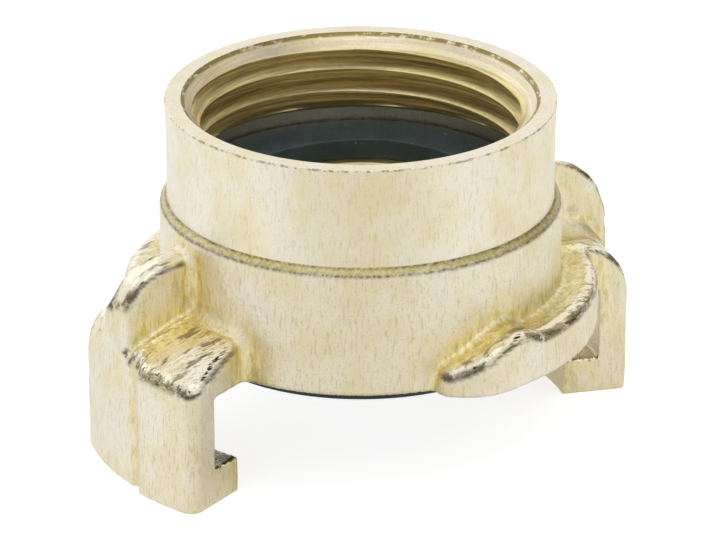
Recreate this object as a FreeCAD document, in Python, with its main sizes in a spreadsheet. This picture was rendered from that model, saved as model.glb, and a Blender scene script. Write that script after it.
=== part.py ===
import FreeCAD, Part
import math
import os
import Sketcher

# Claw coupling half with an internal pipe thread, a coupling seal and a thread gasket.
#
# The part stands on its two claw feet with the thread upward. The origin is on the axis, in the plane of
# the feet, and the claws point along +X and -X. Lengths are in millimetres and angles in degrees, positive
# from +X towards +Y. Each claw has a low part beside its cam, a tall fin, and a pillar on its free side.

DRIVING_SIZES = {
    # Pressed barrel. Every other radius is a wall, step or reach away from it.
    "barrel_diameter": 38.20,
    "barrel_edge_radius": 0.35,
    # Heights from the feet to the coupling face, and on through the seal's recess and the web to the rim
    "face_height": 10.85,
    "recess_depth": 7.30,
    "web_thickness": 3.90,
    "thread_hole_depth": 11.15,
    # Turned ring that holds the thread
    "ring_step": 0.70,
    "ring_height": 9.65,
    "ring_wall": 1.775,
    "rim_flare": 0.15,
    "rim_flare_height": 3.00,
    "shoulder_height": 0.72,
    # Thread, as closed ridges, with its lead-in, the undercut below it, and the ledge round the flow bore
    "thread_depth": 1.479,
    "thread_pitch": 2.309,
    "thread_crest_width": 0.45,
    "thread_root_width": 0.30,
    "thread_start_height": 4.37,
    "lead_in_step": 0.25,
    "undercut_step": 0.375,
    "undercut_height": 3.30,
    "ledge_width": 6.50,
    # Recess for the coupling seal, with a groove behind its lip
    "recess_wall": 2.10,
    "recess_lip_height": 1.60,
    "recess_groove_depth": 0.60,
    "recess_groove_height": 2.40,
    # Claw with its hook and foot
    "claw_angle": 42.20,
    "claw_root_depth": 0.80,
    "claw_reach": 7.80,
    "hook_reach": 4.65,
    "foot_reach": 1.10,
    "foot_thickness": 3.60,
    "foot_edge_radius": 0.35,
    # Low part of the claw, beside its cam. Rises are measured from the coupling face.
    "low_top_rise": 4.75,
    "low_corner_radius": 5.20,
    # Pillar on the claw's free side
    "pillar_step": 0.30,
    "pillar_root_rise": 5.65,
    "pillar_edge_rise": 2.50,
    "pillar_edge_radius": 1.20,
    "pillar_corner_radius": 1.30,
    # Shallow strip in the claw's outer wall, between the fin and the pillar
    "strip_angle": 5.20,
    "strip_step": 0.30,
    "strip_edge_rise": 2.75,
    # Tall fin between the two. On +X it is higher on the cam's side, and on -X it is level.
    "fin_middle_angle": -3.90,
    "fin_angle": 9.00,
    "fin_step": 0.10,
    "fin_base_drop": 0.85,
    "fin_high_root_rise": 12.70,
    "fin_high_edge_rise": 10.70,
    "fin_high_corner_radius": 6.00,
    "level_fin_high_root_rise": 10.65,
    "level_fin_high_edge_rise": 8.15,
    "level_fin_high_corner_radius": 7.00,
    "fin_low_root_rise": 10.35,
    "fin_low_edge_rise": 8.45,
    "fin_low_corner_radius": 3.00,
    # Cam that the other half's foot climbs from the nose over the crest to the rest level
    "cam_reach": 3.55,
    "cam_overlap_angle": 3.00,
    "cam_rest_angle": 54.30,
    "cam_rest_rise": 4.52,
    "cam_crest_angle": 6.50,
    "cam_crest_rise": 5.40,
    "cam_edge_radius": 0.90,
    "cam_slope_angle": 10.50,
    "cam_slope_rise": 4.00,
    "cam_slope_edge_radius": 1.30,
    "cam_nose_angle": 11.00,
    "cam_nose_reach": 1.60,
    "cam_nose_rise": 2.25,
    "cam_nose_edge_radius": 1.60,
    # Coupling seal
    "seal_clearance": 0.15,
    "seal_protrusion": 1.50,
    "seal_step": 0.40,
    "seal_edge_radius": 0.50,
    # Thread gasket
    "gasket_clearance": 0.20,
    "gasket_thickness": 2.08,
    "gasket_step": 1.10,
}

CLAW_COUNT = 2
FULL_TURN = 360
HALF_TURN = 180
ON_PLANE = 0.01
ORIGIN = -1
START = 1
END = 2
SKETCH_UP = FreeCAD.Vector(0, 1, 0)
PART_UP = FreeCAD.Vector(0, 0, 1)


class Size:
    """A length or angle, kept as an expression on the sheet together with its present value."""

    def __init__(self, text, value):
        self.text = text
        self.value = value

    def __add__(self, other):
        return Size(f"({self.text} + {other.text})", self.value + other.value)

    def __sub__(self, other):
        return Size(f"({self.text} - {other.text})", self.value - other.value)

    def __neg__(self):
        return Size(f"(0 - {self.text})", -self.value)

    def half(self):
        return Size(f"({self.text} / 2)", self.value / 2)


def make_sheet(doc):
    """Write each driving size to its own row of a sheet, and return them all by name."""
    sheet = doc.addObject("Spreadsheet::Sheet", "sizes")
    sizes = {}
    for row, (name, value) in enumerate(DRIVING_SIZES.items(), start=1):
        sheet.set(f"A{row}", name)
        sheet.set(f"B{row}", str(value))
        sheet.setAlias(f"B{row}", name)
        sizes[name] = Size(f"sizes.{name}", value)
    doc.recompute()
    add_radii(sizes)
    add_heights(sizes)
    return sizes


def add_radii(size):
    """Add the radii that follow from the barrel's."""
    barrel = size["barrel_diameter"].half()
    size["barrel"] = barrel
    size["ring"] = barrel - size["ring_step"]
    size["thread_major"] = size["ring"] - size["ring_wall"]
    size["thread_minor"] = size["thread_major"] - size["thread_depth"]
    size["lead_in"] = size["thread_major"] + size["lead_in_step"]
    size["undercut"] = size["thread_major"] + size["undercut_step"]
    size["flow"] = size["undercut"] - size["ledge_width"]
    size["recess"] = barrel - size["recess_wall"]
    size["recess_groove"] = size["recess"] + size["recess_groove_depth"]
    size["claw_root"] = barrel - size["claw_root_depth"]
    size["claw"] = barrel + size["claw_reach"]
    size["hook"] = barrel + size["hook_reach"]
    size["foot"] = barrel + size["foot_reach"]
    size["pillar"] = size["claw"] + size["pillar_step"]
    size["strip"] = size["claw"] - size["strip_step"]
    size["fin"] = size["claw"] - size["fin_step"]
    size["cam"] = barrel + size["cam_reach"]
    size["cam_nose"] = barrel + size["cam_nose_reach"]


def add_heights(size):
    """Add the heights that follow from the coupling face's."""
    face = size["face_height"]
    size["recess_top"] = face + size["recess_depth"]
    size["ledge"] = size["recess_top"] + size["web_thickness"]
    size["rim"] = size["ledge"] + size["thread_hole_depth"]
    size["fin_base_height"] = face - size["fin_base_drop"]
    size["seal_bottom"] = face - size["seal_protrusion"]
    for name in [name for name in size if name.endswith("_rise")]:
        size[name.replace("_rise", "_height")] = face + size[name]


def new_body(doc, name):
    body = doc.addObject("PartDesign::Body", name)
    body.Label = name
    return body


def origin_item(body, role):
    """An axis or plane of the body's origin."""
    return next(item for item in body.Origin.OriginFeatures if item.Role == role)


def new_sketch(body, name, turn=None):
    """Attach a sketch to the upright plane through +X, turned by an angle about the part's axis."""
    sketch = body.newObject("Sketcher::SketchObject", name)
    sketch.AttachmentSupport = [(origin_item(body, "XZ_Plane"), "")]
    sketch.MapMode = "FlatFace"
    if turn is not None:
        rotation = FreeCAD.Rotation(SKETCH_UP, turn.value)
        sketch.AttachmentOffset = FreeCAD.Placement(FreeCAD.Vector(), rotation)
        sketch.setExpression(".AttachmentOffset.Rotation.Angle", turn.text)
    return sketch


def dimension(sketch, kind, place, size):
    """Add a dimension to the sketch and bind it to the sheet."""
    index = sketch.addConstraint(Sketcher.Constraint(kind, *place, size.value))
    sketch.setExpression(f"Constraints[{index}]", size.text)


def locate(sketch, geometry, end, across, up):
    dimension(sketch, "DistanceX", (ORIGIN, START, geometry, end), across)
    dimension(sketch, "DistanceY", (ORIGIN, START, geometry, end), up)


def draw_outline(sketch, corners):
    """Draw a closed outline whose corners are (across, up), or (across, up, radius) where it is round."""
    points = [FreeCAD.Vector(corner[0].value, corner[1].value, 0) for corner in corners]
    count = len(corners)
    cuts = [corner_cut(points, index, corners[index]) for index in range(count)]
    lines = []
    for index in range(count):
        following = (index + 1) % count
        along = (points[following] - points[index]).normalize()
        first = points[index] + along * cuts[index]
        last = points[following] - along * cuts[following]
        lines.append(sketch.addGeometry(Part.LineSegment(first, last)))
    for index, corner in enumerate(corners):
        before = lines[index - 1]
        after = lines[index]
        if len(corner) == 3:
            round_corner(sketch, points[index], before, after, corner)
        else:
            sketch.addConstraint(Sketcher.Constraint("Coincident", before, END, after, START))
            locate(sketch, after, START, *corner)


def corner_cut(points, index, corner):
    """Length that a round corner takes off each of its two edges."""
    if len(corner) == 2:
        return 0.0
    to_previous = points[index - 1] - points[index]
    to_next = points[(index + 1) % len(points)] - points[index]
    return corner[2].value / math.tan(to_previous.getAngle(to_next) / 2)


def round_corner(sketch, point, before, after, corner):
    """Join two edges by a tangent arc, dimensioned at the point where the edges would meet."""
    across, up, radius = corner
    start = sketch.getPoint(before, END)
    end = sketch.getPoint(after, START)
    half_angle = (start - point).getAngle(end - point) / 2
    inward = ((start - point).normalize() + (end - point).normalize()).normalize()
    middle = point + inward * radius.value * (1 / math.sin(half_angle) - 1)
    arc = sketch.addGeometry(Part.Arc(start, middle, end))
    first, last = START, END
    if sketch.getPoint(arc, START).distanceToPoint(start) > sketch.getPoint(arc, START).distanceToPoint(end):
        first, last = END, START
    sketch.addConstraint(Sketcher.Constraint("Tangent", before, END, arc, first))
    sketch.addConstraint(Sketcher.Constraint("Tangent", arc, last, after, START))
    dimension(sketch, "Radius", (arc,), radius)
    apex = sketch.addGeometry(Part.Point(point), True)
    sketch.addConstraint(Sketcher.Constraint("PointOnObject", apex, START, before))
    sketch.addConstraint(Sketcher.Constraint("PointOnObject", apex, START, after))
    locate(sketch, apex, START, across, up)


def revolve(body, name, sketch, angle=None, kind="Revolution"):
    """Turn a section about the part's axis, all round or by an angle centred on the section's plane."""
    feature = body.newObject(f"PartDesign::{kind}", name)
    feature.Profile = sketch
    feature.ReferenceAxis = (sketch, ["V_Axis"])
    if angle is None:
        feature.Angle = FULL_TURN
    else:
        feature.Angle = angle.value
        feature.Midplane = True
        feature.setExpression("Angle", angle.text)
    return feature


def add_sector(body, name, start, end, corners):
    """Turn a section from one angle to another."""
    middle = (start + end).half()
    sketch = new_sketch(body, f"{name}_section", turn=middle)
    draw_outline(sketch, corners)
    return revolve(body, name, sketch, end - start)


def loft(body, name, sections, ruled):
    """Join sections that stand at different angles round the part's axis."""
    sketches = []
    for index, (turn, corners) in enumerate(sections):
        sketch = new_sketch(body, f"{name}_section_{index + 1}", turn=turn)
        draw_outline(sketch, corners)
        sketches.append(sketch)
    feature = body.newObject("PartDesign::AdditiveLoft", name)
    feature.Profile = sketches[0]
    feature.Sections = sketches[1:]
    feature.Ruled = ruled
    return feature


def make_brass_body(doc, size):
    body = new_body(doc, "brass_body")
    originals = add_claw(body, size) + add_cam(body, size)
    doc.recompute()
    pattern = body.newObject("PartDesign::PolarPattern", "both_claws_and_cams")
    pattern.Originals = originals
    pattern.Axis = (origin_item(body, "Z_Axis"), [""])
    pattern.Angle = FULL_TURN
    pattern.Occurrences = CLAW_COUNT
    body.Tip = pattern
    doc.recompute()
    add_fin(body, size, "fin", Size("0", 0.0))
    add_fin(body, size, "level_fin", Size("180", HALF_TURN))
    doc.recompute()
    add_barrel(body, size)
    doc.recompute()
    cut_hook_slot(body, size)
    doc.recompute()
    cut_thread(body, size)
    doc.recompute()
    round_pillars(body, size)
    doc.recompute()
    return body


def claw_end_angles(size):
    return -size["claw_angle"].half(), size["claw_angle"].half()


def fin_end_angles(size):
    half = size["fin_angle"].half()
    return size["fin_middle_angle"] - half, size["fin_middle_angle"] + half


def add_claw(body, size):
    """Low part, strip and pillar of the claw on +X."""
    cam_side, free_side = claw_end_angles(size)
    fin_end = fin_end_angles(size)[1]
    root = size["claw_root"]
    strip_end = fin_end + size["strip_angle"]
    floor = Size("0", 0.0)
    hook = [
        (root, size["face_height"]),
        (size["foot"], size["face_height"]),
        (size["foot"], floor, size["foot_edge_radius"]),
    ]
    low_part = add_sector(body, "claw_low_part", cam_side, fin_end, hook + [
        (size["claw"], floor, size["foot_edge_radius"]),
        (size["claw"], size["low_top_height"], size["low_corner_radius"]),
        (root, size["low_top_height"]),
    ])
    pillar = add_sector(body, "claw_pillar", strip_end, free_side, hook + [
        (size["pillar"], floor),
        (size["pillar"], size["pillar_edge_height"], size["pillar_edge_radius"]),
        (root, size["pillar_root_height"]),
    ])
    strip = add_sector(body, "claw_strip", fin_end, strip_end, hook + [
        (size["strip"], floor),
        (size["strip"], size["strip_edge_height"], size["pillar_edge_radius"]),
        (root, size["pillar_root_height"]),
    ])
    return [low_part, pillar, strip]


def add_fin(body, size, name, facing):
    """Fin of the claw that faces an angle round the axis, with its own sizes on its higher side."""
    start, end = fin_end_angles(size)
    root = size["claw_root"]
    outer = size["fin"]
    base = [
        (root, size["fin_base_height"]),
        (outer, size["fin_base_height"]),
    ]
    return loft(body, name, [
        (facing + start, base + [
            (outer, size[f"{name}_high_edge_height"], size[f"{name}_high_corner_radius"]),
            (root, size[f"{name}_high_root_height"]),
        ]),
        (facing + end, base + [
            (outer, size["fin_low_edge_height"], size["fin_low_corner_radius"]),
            (root, size["fin_low_root_height"]),
        ]),
    ], ruled=True)


def cam_section(size, outer, top, edge_radius):
    """Section of the cam, drawn below the coupling face, where the hook slot's cut trims it."""
    return [
        (size["claw_root"], size["seal_bottom"]),
        (outer, size["seal_bottom"]),
        (outer, top, edge_radius),
        (size["claw_root"], top),
    ]


def add_cam(body, size):
    """Level stretch beside the claw and the slope that leads up to it from the nose."""
    claw_side = claw_end_angles(size)[0]
    rest_start = claw_side - size["cam_rest_angle"]
    crest = rest_start - size["cam_crest_angle"]
    slope = crest - size["cam_slope_angle"]
    nose = slope - size["cam_nose_angle"]
    outer = size["cam"]
    rest_section = cam_section(size, outer, size["cam_rest_height"], size["cam_edge_radius"])
    rest_end = claw_side + size["cam_overlap_angle"]
    level = add_sector(body, "cam_level", rest_start, rest_end, rest_section)
    sections = [
        (nose, cam_section(size, size["cam_nose"], size["cam_nose_height"], size["cam_nose_edge_radius"])),
        (slope, cam_section(size, outer, size["cam_slope_height"], size["cam_slope_edge_radius"])),
        (crest, cam_section(size, outer, size["cam_crest_height"], size["cam_edge_radius"])),
        (rest_start, rest_section),
    ]
    rise = loft(body, "cam_rise", sections, ruled=False)
    return [level, rise]


def add_barrel(body, size):
    """Barrel and ring as turned, with the threaded hole, the flow bore and the seal recess."""
    rim = size["rim"]
    ring_bottom = rim - size["ring_height"]
    undercut_top = size["ledge"] + size["undercut_height"]
    lead_in_end = rim - (size["lead_in"] - size["thread_minor"])
    lip_top = size["face_height"] + size["recess_lip_height"]
    groove_top = lip_top + size["recess_groove_height"]
    sketch = new_sketch(body, "barrel_section")
    draw_outline(sketch, [
        (size["recess"], size["face_height"]),
        (size["barrel"], size["face_height"], size["barrel_edge_radius"]),
        (size["barrel"], ring_bottom - size["shoulder_height"]),
        (size["ring"], ring_bottom),
        (size["ring"], rim - size["rim_flare_height"]),
        (size["ring"] + size["rim_flare"], rim),
        (size["lead_in"], rim),
        (size["thread_minor"], lead_in_end),
        (size["thread_minor"], undercut_top),
        (size["undercut"], undercut_top),
        (size["undercut"], size["ledge"]),
        (size["flow"], size["ledge"]),
        (size["flow"], size["recess_top"]),
        (size["recess"], size["recess_top"]),
        (size["recess"], groove_top),
        (size["recess_groove"], groove_top),
        (size["recess_groove"], lip_top),
        (size["recess"], lip_top),
    ])
    return revolve(body, "barrel", sketch)


def cut_hook_slot(body, size):
    """Turned slot above the feet, which also faces the cams level with the barrel's lower end."""
    sketch = new_sketch(body, "hook_slot_section")
    draw_outline(sketch, [
        (size["flow"], size["foot_thickness"]),
        (size["hook"], size["foot_thickness"]),
        (size["hook"], size["face_height"]),
        (size["flow"], size["face_height"]),
    ])
    return revolve(body, "hook_slot", sketch, kind="Groove")


def cut_thread(body, size):
    """Closed grooves at the thread's pitch, as many as fit between the undercut and the rim."""
    pitch = size["thread_pitch"]
    middle = size["ledge"] + size["thread_start_height"]
    half_root = size["thread_root_width"].half()
    half_mouth = (pitch - size["thread_crest_width"]).half()
    sketch = new_sketch(body, "thread_section")
    draw_outline(sketch, [
        (size["thread_minor"], middle - half_mouth),
        (size["thread_major"], middle - half_root),
        (size["thread_major"], middle + half_root),
        (size["thread_minor"], middle + half_mouth),
    ])
    groove = revolve(body, "thread_groove", sketch, kind="Groove")
    room = size["rim"] - middle
    pattern = body.newObject("PartDesign::LinearPattern", "thread")
    pattern.Originals = [groove]
    pattern.Direction = (origin_item(body, "Z_Axis"), [""])
    pattern.setExpression("Occurrences", f"floor({room.text} / {pitch.text}) + 1")
    pattern.setExpression("Length", f"floor({room.text} / {pitch.text}) * {pitch.text}")
    body.Tip = pattern


def round_pillars(body, size):
    """Round each pillar's upright outer edge on the claw's free side, and with it the edge over its top."""
    turn = FreeCAD.Rotation(PART_UP, -claw_end_angles(size)[1].value)
    nearest = size["pillar"].value - size["pillar_edge_radius"].value
    corners = []
    for index, edge in enumerate(body.Shape.Edges, start=1):
        middle = turn.multVec(edge.valueAt((edge.FirstParameter + edge.LastParameter) / 2))
        ends = [turn.multVec(vertex.Point) for vertex in edge.Vertexes]
        in_face = all(abs(point.y) < ON_PLANE for point in ends + [middle])
        if in_face and abs(middle.x) > nearest:
            corners.append(f"Edge{index}")
    slotted = body.Tip
    feature = body.newObject("PartDesign::Fillet", "pillar_corners")
    feature.Base = (slotted, corners)
    feature.Radius = size["pillar_corner_radius"].value
    feature.setExpression("Radius", size["pillar_corner_radius"].text)


def make_coupling_seal(doc, size):
    """Rubber ring that fills the recess, with a bead in its groove, and stands below the face."""
    body = new_body(doc, "coupling_seal")
    clearance = size["seal_clearance"]
    outer = size["recess"] - clearance
    bead = size["recess_groove"] - clearance
    inner = size["flow"] + size["seal_step"]
    lip_top = size["face_height"] + size["recess_lip_height"]
    bead_bottom = lip_top + clearance
    bead_top = lip_top + size["recess_groove_height"] - clearance
    sketch = new_sketch(body, "coupling_seal_section")
    draw_outline(sketch, [
        (inner, size["seal_bottom"], size["seal_edge_radius"]),
        (outer, size["seal_bottom"], size["seal_edge_radius"]),
        (outer, bead_bottom),
        (bead, bead_bottom),
        (bead, bead_top),
        (outer, bead_top),
        (outer, size["recess_top"]),
        (inner, size["recess_top"]),
    ])
    revolve(body, "coupling_seal_ring", sketch)
    return body


def make_thread_gasket(doc, size):
    """Flat ring that the undercut keeps on the ledge at the bottom of the threaded hole."""
    body = new_body(doc, "thread_gasket")
    inner = size["flow"] + size["gasket_step"]
    outer = size["undercut"] - size["gasket_clearance"]
    top = size["ledge"] + size["gasket_thickness"]
    sketch = new_sketch(body, "thread_gasket_section")
    draw_outline(sketch, [
        (inner, size["ledge"]),
        (outer, size["ledge"]),
        (outer, top),
        (inner, top),
    ])
    revolve(body, "thread_gasket_ring", sketch)
    return body


def check_document(doc, bodies):
    """Stop with the names of failed objects or of shapes that are empty, broken or in several solids."""
    failed = [item.Name for item in doc.Objects if "Invalid" in item.State or "Error" in item.State]
    if failed:
        raise RuntimeError(f"failed objects: {failed}")
    for body in bodies:
        if body.Shape.isNull() or not body.Shape.isValid() or len(body.Shape.Solids) != 1:
            raise RuntimeError(f"bad shape: {body.Label}")


def main():
    doc = FreeCAD.newDocument("hose_coupling")
    size = make_sheet(doc)
    bodies = [
        make_brass_body(doc, size),
        make_coupling_seal(doc, size),
        make_thread_gasket(doc, size),
    ]
    doc.recompute()
    check_document(doc, bodies)
    os.makedirs("parts", exist_ok=True)
    for body in bodies:
        body.Shape.exportStep(f"parts/{body.Label}.step")
        print(body.Label, round(body.Shape.Volume, 1), "mm3")


main()
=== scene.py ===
import itertools
import math
from collections import namedtuple

import bmesh
import bpy
import numpy as np
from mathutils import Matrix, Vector


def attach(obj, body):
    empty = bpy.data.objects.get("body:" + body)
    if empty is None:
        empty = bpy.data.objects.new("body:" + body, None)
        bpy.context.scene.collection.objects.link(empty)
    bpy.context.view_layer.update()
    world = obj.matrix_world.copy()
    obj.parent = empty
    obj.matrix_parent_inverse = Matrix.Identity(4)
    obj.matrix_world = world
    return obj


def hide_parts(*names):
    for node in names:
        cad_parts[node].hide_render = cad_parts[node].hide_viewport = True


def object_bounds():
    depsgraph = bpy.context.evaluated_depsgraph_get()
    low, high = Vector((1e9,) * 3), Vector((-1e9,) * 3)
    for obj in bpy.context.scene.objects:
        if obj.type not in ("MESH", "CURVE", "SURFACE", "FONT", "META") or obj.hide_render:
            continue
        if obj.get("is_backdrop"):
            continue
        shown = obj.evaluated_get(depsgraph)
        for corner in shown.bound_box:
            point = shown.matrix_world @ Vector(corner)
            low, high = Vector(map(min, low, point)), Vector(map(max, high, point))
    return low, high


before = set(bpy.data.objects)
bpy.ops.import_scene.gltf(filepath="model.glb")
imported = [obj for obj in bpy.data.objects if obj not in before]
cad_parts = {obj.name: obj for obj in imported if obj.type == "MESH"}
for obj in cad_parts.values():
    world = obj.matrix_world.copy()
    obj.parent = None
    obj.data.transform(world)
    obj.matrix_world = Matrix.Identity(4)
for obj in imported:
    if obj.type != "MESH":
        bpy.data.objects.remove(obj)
cad_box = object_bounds()

# Claw coupling half in blasted forged brass, standing on its claw feet with the thread upward.
#
# Shapes are worked out in millimetres and degrees in the frame of the solids, and scaled to metres when a
# mesh is made. The forged outside is one implicit surface, whose fields are negative inside the metal. The
# turned inside and the two rubber rings are outlines turned about the axis, and the thread is a sleeve
# whose inner wall follows the helix.

METRES = 0.001

# Camera: the side of the object that faces it, its height over the object and its distance
CAMERA_AZIMUTH = -34.4
CAMERA_ELEVATION = 23.55
CAMERA_DISTANCE = 507.0
CAMERA_TARGET = (-0.201, 0.138, 15.31)
CAMERA_LENS = 266.8
CAMERA_SENSOR = 36.0
CAMERA_CLIP_START = 10.0

# Turned ring and barrel
TOP = 33.20
RING_RADIUS = 18.40
RING_FOOT = 23.45
RIM_FLARE = 0.15
RIM_FLARE_HEIGHT = 3.00
RIM_CORNER = 0.14
RIM_EDGE_DROP = 0.24
RIM_EDGE_SHARE = 0.92
SHOULDER_TOP = 23.55
SHOULDER_BOTTOM = 22.83
SHOULDER_CORNER = 0.25
BARREL_RADIUS = 19.10
FACE = 10.85

# Threaded hole without its thread, ledge, flow bore and seal recess
MOUTH_RADIUS = 16.95
MOUTH_CORNER = 0.05
UNDERCUT_TOP = 25.35
UNDERCUT_RADIUS = 17.00
LEDGE = 22.05
FLOW_RADIUS = 10.50
FLOW_CORNER = 0.30
RECESS_RADIUS = 17.00
RECESS_TOP = 18.15
GROOVE_RADIUS = 17.60
GROOVE_BOTTOM = 12.45
GROOVE_TOP = 14.85

# Outer side of the turned solid, which the forged surface hides
CORE_RADIUS = 18.00
CORE_TOP = 23.00
CORE_BOTTOM = 11.60
CORE_MOUTH = 11.30

# Parallel pipe thread, on a sleeve that ends just below the ring's top face and the undercut's upper face
THREAD_PITCH = 2.309
THREAD_DEPTH = 1.479
THREAD_ROOT = 16.62
THREAD_CREST = 29.525
THREAD_LOW = UNDERCUT_TOP - 0.020
THREAD_HIGH = TOP - 0.012
THREAD_SLEEVE = 16.97
THREAD_LEAST_WALL = 0.03
THREAD_ROWS = 22
RIDGE_GAIN = 1.30
RIDGE_ROUNDNESS = 0.35
LEAD_IN_SLOPE = 1.05
LEAD_IN_BOTTOM = 31.90
RELIEF_RADIUS = 16.90
RELIEF_SLOPE = 1.60

# Coupling seal, with a channel in its face and a ridge that holds it in the recess's groove
SEAL_BORE = 10.90
SEAL_RADIUS = 16.85
SEAL_FACE = 9.35
SEAL_FACE_CORNER = 0.50
SEAL_BACK_CORNER = 0.40
CHANNEL_INNER = 13.20
CHANNEL_OUTER = 14.15
CHANNEL_SIDE = 0.25
CHANNEL_DEPTH = 0.27
CHANNEL_EDGE_CORNER = 0.25
CHANNEL_FLOOR_CORNER = 0.20
SEAL_RIDGE_RADIUS = 17.45
SEAL_RIDGE_BOTTOM = 12.60
SEAL_RIDGE_TOP = 14.70
SEAL_RIDGE_CORNER = 0.30

# Thread gasket. Waves are a height, a count of crests in a turn and a phase.
GASKET_BORE = 11.60
GASKET_RADIUS = 16.80
GASKET_BOTTOM = 22.06
GASKET_TOP = 24.13
GASKET_LOW_CORNER = 0.15
GASKET_OUTER_CORNER = 0.30
GASKET_INNER_CORNER = 0.22
GASKET_BORE_WAVES = ((0.05, 3, 0.6), (0.03, 7, 2.1))
GASKET_BORE_REACH = 13.5
GASKET_BORE_FADE = 2.0
GASKET_TOP_WAVE = (0.03, 5, 1.0)
GASKET_TOP_SAG = 0.03
GASKET_TOP_START = 22.6
GASKET_TOP_FADE = 1.5

# Turned pieces: points round the axis, points in a rounding, and the angles that stay crisp in the shading
SEGMENTS = 288
ROUNDING_STEPS = 5
TURNED_CREASE = 25
THREAD_CREASE = 40
MERGE_DISTANCE = 1e-7

# Foot, slot and walls of a claw. A border is its middle and half its width.
CLAW_HALF_ANGLE = 21.1
ROOT_RADIUS = 18.3
FOOT_THICKNESS = 3.60
FOOT_INNER_RADIUS = 20.20
HOOK_INNER_RADIUS = 23.75
LOW_WALL_RADIUS = 26.90
LOW_WALL_INSET = 0.25
LOW_TOP = 15.60
LOW_CORNER = 5.20
CAM_SIDE_ROUNDING = 0.60
STRIP_DEPTH = 0.48
STRIP_START = (2.1, 0.6)
STRIP_END = (5.3, 0.4)
INSET_END = (2.1, 1.5)

# Fin: (root height, edge height, corner radius) at its cam side and at its free side. The claw on +X has
# the high one.
HIGH_FIN = ((23.80, 21.95, 5.60), (21.20, 19.30, 3.00))
LEVEL_FIN = ((21.80, 20.50, 5.40), (21.75, 20.85, 4.40))
FIN_START = -8.4
FIN_END = 0.6
FIN_MIDDLE = (FIN_START + FIN_END) / 2
FIN_REACH = 8.5
FIN_OVERRUN = 0.3
FIN_SIDE_ROUNDING = 1.05
FIN_FOOT_CORNER = 0.30
FIN_FOOT_BORDER = (FIN_START, 0.8)
FIN_LOW_FILLET = 2.60
FIN_PILLAR_FILLET = 0.35
FIN_FILLET_BORDER = (FIN_MIDDLE, 2.0)

# Pillar, whose top falls outward, droops past its crest and is dished inside its edge
PILLAR_BORDER = (FIN_MIDDLE, 3.0)
PILLAR_WALL_STEP = 0.78
PILLAR_ROOT = 16.50
PILLAR_EDGE = 13.35
PILLAR_REACH = LOW_WALL_RADIUS + PILLAR_WALL_STEP - STRIP_DEPTH - ROOT_RADIUS
PILLAR_CORNER = 1.20
PILLAR_CORNER_BORDER = (FIN_END - 0.2, 0.6)
PILLAR_SIDE_ROUNDING = 1.30
PILLAR_DROOP = 0.012
PILLAR_CREST_RADIUS = 22.5
PILLAR_CREST_ANGLE = 9.0
DISH_DEPTH = 0.20
DISH_BORDER = (0.75, 0.30)

# Cam: angle, top height, outer radius and edge radius at each of its knots, from nose to rest level
CAM_KNOTS = np.array([
    (-103.4, 13.10, 20.70, 1.60),
    (-92.4, 14.85, 22.65, 1.30),
    (-81.9, 16.25, 22.65, 1.20),
    (-75.4, 15.37, 22.65, 1.30),
])
CAM_NOSE = CAM_KNOTS[0, 0]
CAM_CLAW_END = -18.1
CAM_NOSE_ROUNDING = 1.00
CAM_DROP = 1.50

# Fillets and edges where the forged forms meet
CAM_FILLET = 0.55
CLAW_FILLET = 0.90
FOOT_EDGE = 0.25
SLOT_EDGE = 0.18
RECESS_EDGE = 0.12
FORGED_TOP = 23.95

# Grid that the forged surface is meshed on, and how its points settle
GRID_STEP = 0.29
GRID_LOW = (-27.8, -24.6, -0.45)
GRID_HIGH = (27.8, 24.6, 24.6)
SETTLE_ROUNDS = 4
SETTLE_REACH = 0.01
LEAST_STEEPNESS = 0.2
LONGEST_MOVE = 0.5 * GRID_STEP

# Uneven skin of the forging: height, wave lengths and seed of its broad and its narrow waves
SKIN_WAVES = (
    (0.030, (7.1, 5.3, 4.1, 3.4, 2.9, 2.3), 4),
    (0.010, (1.7, 1.4, 1.1, 0.9), 9),
)

# How near to a cut face a point of the forging counts as turned
SLOT_FACE_REACH = 0.12
FOOT_FACE_REACH = 0.15
RECESS_FACE_REACH = 0.20

# Marks on the forging for its material: distances at which the field is sampled, then what each mark takes
SLOPE_REACH = 0.05
BEND_REACH = 0.30
ENCLOSURE_REACHES = (1.5, 3.5, 8.0)
OUTER_BORDER = (20.0, 0.6)
POLISH_BEND = 0.25
POLISH_GAIN = 1.2
FACING_UP_START = 0.15
FACING_UP_SPAN = 0.30
# The hollow mark sets where a painted golden reflection and shade lies in the hollows, and where pits gather
HOLLOW_BEND_GAIN = 0.4
HOLLOW_BEND_MOST = 0.6
HOLLOW_ENCLOSURE_GAIN = 2.4
HOLLOW_ENCLOSURE_START = 0.07
# The edge line is a painted dark reflection along the lower border of rounded upper edges
LINE_FACING = 0.42
LINE_WIDTH = 0.20
LINE_GAIN = 1.5
LINE_START = 0.35
SEAM_REACH = 0.3
SEAM_BORDER = (22.95, 0.12)
# The seam's edges carry painted shade and dark reflection lines at the shoulder's lower and upper edges
SHOULDER_EDGE_SHADE_LINES = ((22.88, 0.10), (23.46, 0.09))

# Rubbed tops of the pillars: borders in angle, radius and slope, and the heights between which they lie
RUBBED_START = (FIN_END + 2.0, 0.7)
RUBBED_END = (CLAW_HALF_ANGLE + 3.0, 1.0)
RUBBED_ROOT = (BARREL_RADIUS + 1.2, 0.6)
RUBBED_SLOPE = (0.55, 0.15)
RUBBED_LOW = PILLAR_EDGE - 1.5
RUBBED_HIGH = PILLAR_ROOT + 1.0

# Marks on the turned pieces for their material
RIM_MARK_RADIUS = RING_RADIUS + 0.02
RIM_MARK_LOW = TOP - 0.16
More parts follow.
